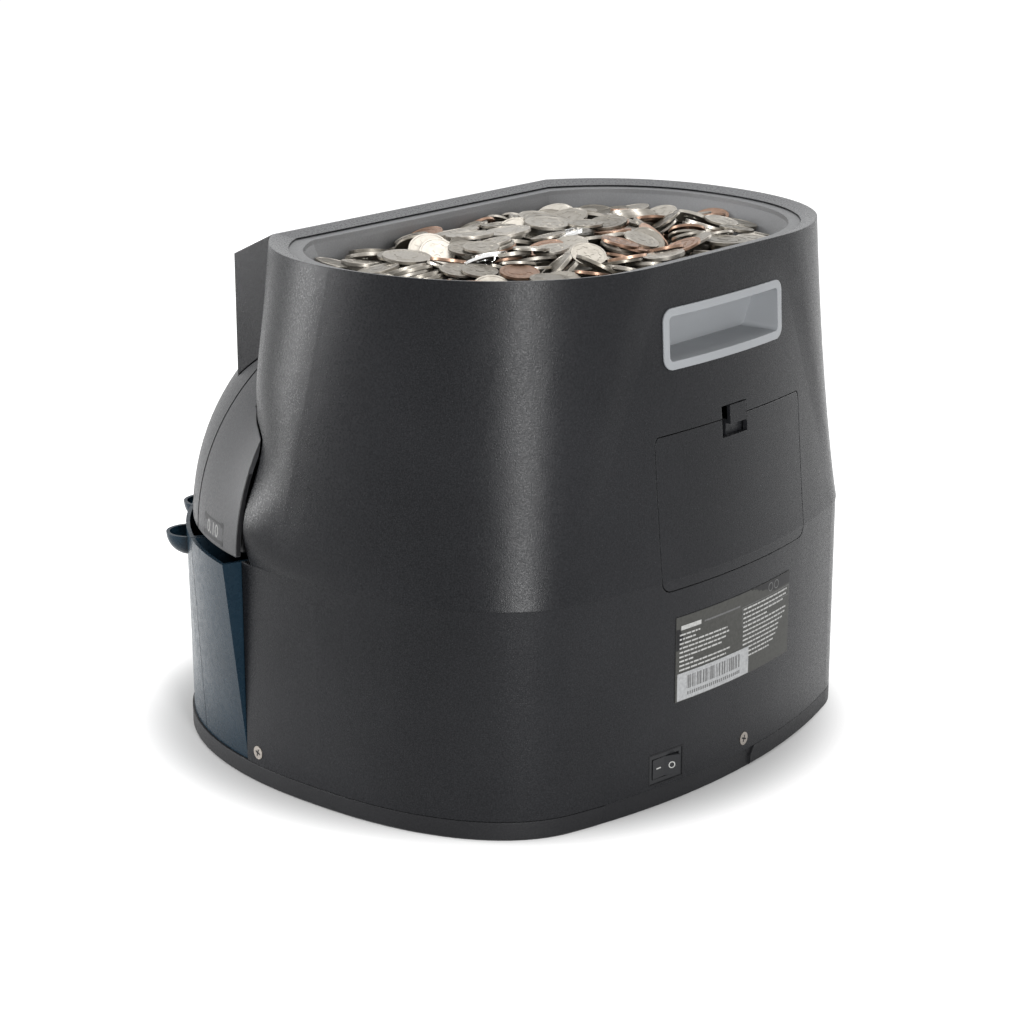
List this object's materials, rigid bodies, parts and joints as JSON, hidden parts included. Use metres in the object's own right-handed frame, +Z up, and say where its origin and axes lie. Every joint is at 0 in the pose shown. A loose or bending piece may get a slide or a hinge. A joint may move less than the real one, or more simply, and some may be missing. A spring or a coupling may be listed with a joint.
{
  "type": "electric coin counting and sorting machine",
  "caption": "Counter-top coin counter and sorter with an open top hopper, a domed sorting cover over pull-out coin bins, a key console and a switch at the back.",
  "frame": {"origin": "middle of the part's plan box, on the surface that it stands on", "axes": "+X across the machine, to the left of someone at its keys; +Y towards the back with the handle recess; +Z up"},
  "size_m": [0.336, 0.3191, 0.266],
  "materials": {
    "casing": "fine textured charcoal moulding with a light sparkle",
    "handle": "mid grey satin moulding",
    "rubber": "matt",
    "frame_black": "plain black moulding",
    "deck_steel": "brushed",
    "shaft_steel": "ground",
    "pulley": "natural acetal",
    "motor_can": "black coated steel",
    "belt": "matt",
    "hopper": "grey satin moulding",
    "label": "printed film",
    "sticker": "printed paper film",
    "switch": "black satin",
    "window": "smoked",
    "display": "display module",
    "board": "green circuit board",
    "tact": "black",
    "post": "turned",
    "transformer": "varnished core",
    "screw": "zinc plated",
    "bin": "smoked dark blue moulding",
    "key": "grey satin"
  },
  "bodies": {
    "root": {"main_housing": "casing", "front_dome": "casing", "base_tray": "casing", "rear_handle": "handle", "rubber_feet": "rubber", "bay_frame": "frame_black", "bearing_housing": "frame_black", "chute_ring": "frame_black", "lane_sensors": "frame_black", "chassis_deck": "deck_steel", "deck_posts": "deck_steel", "sorting_rail": "deck_steel", "motor": "motor_can", "drive_belt": "belt", "hopper_bowl": "hopper", "rating_label": "label", "code_label": "sticker", "switch_body": "switch", "power_inlet": "switch", "display_window": "window", "display_module": "display", "main_board": "board", "supply_board": "board", "key_switches": "tact", "board_posts": "post", "supply_posts": "post", "transformer": "transformer", "housing_screws": "screw"},
    "service_door": {"service_door": "casing"},
    "door_latch": {"door_latch": "casing"},
    "switch_rocker": {"switch_rocker": "switch"},
    "sorter_rotor": {"sorting_disc": "deck_steel", "disc_shaft": "shaft_steel", "disc_pulley": "pulley"},
    "motor_rotor": {"motor_shaft": "shaft_steel", "motor_pulley": "pulley"},
    "coin_bin_1": {"coin_bin_1": "bin"},
    "coin_bin_2": {"coin_bin_2": "bin"},
    "coin_bin_3": {"coin_bin_3": "bin"},
    "coin_bin_4": {"coin_bin_4": "bin"},
    "coin_bin_5": {"coin_bin_5": "bin"},
    "coin_bin_6": {"coin_bin_6": "bin"},
    "coin_bin_7": {"coin_bin_7": "bin"},
    "coin_bin_8": {"coin_bin_8": "bin"},
    "key_1": {"key_1": "key"},
    "key_2": {"key_2": "key"},
    "key_3": {"key_3": "key"},
    "key_4": {"key_4": "key"},
    "key_5": {"key_5": "key"},
    "key_6": {"key_6": "key"}
  },
  "joints": [
    {"name": "door_hinge", "type": "hinge", "parent": "root", "child": "service_door", "pos_m": [-0.005, 0.15895, 0.1095], "axis": [-1, 0, 0], "range_deg": [0, 90]},
    {"name": "latch_slide", "type": "slide", "parent": "service_door", "child": "door_latch", "axis": [0, 0, -1], "range_m": [0, 0.003], "stiffness_N_per_m": 600, "springref_m": -0.001},
    {"name": "power_rocker", "type": "hinge", "parent": "root", "child": "switch_rocker", "pos_m": [0.05144, 0.15136, 0.0203], "axis": [0, 0, 1], "range_deg": [0, 18]},
    {"name": "disc_spin", "type": "hinge", "parent": "root", "child": "sorter_rotor", "pos_m": [0, 0.02495, 0.147], "axis": [0, 0, 1], "continuous": true},
    {"name": "motor_spin", "type": "hinge", "parent": "root", "child": "motor_rotor", "pos_m": [0, 0.08295, 0.129], "axis": [0, 0, 1], "continuous": true},
    {"name": "bin_1_slide", "type": "slide", "parent": "root", "child": "coin_bin_1", "axis": [-0.8988, -0.4384, 0], "range_m": [0, 0.07]},
    {"name": "bin_2_slide", "type": "slide", "parent": "root", "child": "coin_bin_2", "axis": [-0.7254, -0.6884, 0], "range_m": [0, 0.07]},
    {"name": "bin_3_slide", "type": "slide", "parent": "root", "child": "coin_bin_3", "axis": [-0.4679, -0.8838, 0], "range_m": [0, 0.07]},
    {"name": "bin_4_slide", "type": "slide", "parent": "root", "child": "coin_bin_4", "axis": [-0.1616, -0.9869, 0], "range_m": [0, 0.07]},
    {"name": "bin_5_slide", "type": "slide", "parent": "root", "child": "coin_bin_5", "axis": [0.1616, -0.9869, 0], "range_m": [0, 0.07]},
    {"name": "bin_6_slide", "type": "slide", "parent": "root", "child": "coin_bin_6", "axis": [0.4679, -0.8838, 0], "range_m": [0, 0.07]},
    {"name": "bin_7_slide", "type": "slide", "parent": "root", "child": "coin_bin_7", "axis": [0.7254, -0.6884, 0], "range_m": [0, 0.07]},
    {"name": "bin_8_slide", "type": "slide", "parent": "root", "child": "coin_bin_8", "axis": [0.8988, -0.4384, 0], "range_m": [0, 0.07]},
    {"name": "key_1_press", "type": "slide", "parent": "root", "child": "key_1", "axis": [0, 1, 0], "range_m": [0, 0.0012], "stiffness_N_per_m": 800, "springref_m": -0.0008},
    {"name": "key_2_press", "type": "slide", "parent": "root", "child": "key_2", "axis": [0, 1, 0], "range_m": [0, 0.0012], "stiffness_N_per_m": 800, "springref_m": -0.0008},
    {"name": "key_3_press", "type": "slide", "parent": "root", "child": "key_3", "axis": [0, 1, 0], "range_m": [0, 0.0012], "stiffness_N_per_m": 800, "springref_m": -0.0008},
    {"name": "key_4_press", "type": "slide", "parent": "root", "child": "key_4", "axis": [0, 1, 0], "range_m": [0, 0.0012], "stiffness_N_per_m": 800, "springref_m": -0.0008},
    {"name": "key_5_press", "type": "slide", "parent": "root", "child": "key_5", "axis": [0, 1, 0], "range_m": [0, 0.0012], "stiffness_N_per_m": 800, "springref_m": -0.0008},
    {"name": "key_6_press", "type": "slide", "parent": "root", "child": "key_6", "axis": [0, 1, 0], "range_m": [0, 0.0012], "stiffness_N_per_m": 800, "springref_m": -0.0008}
  ],
  "couplings": [
    {"joint": "motor_spin", "follows": "disc_spin", "ratio": 3}
  ]
}
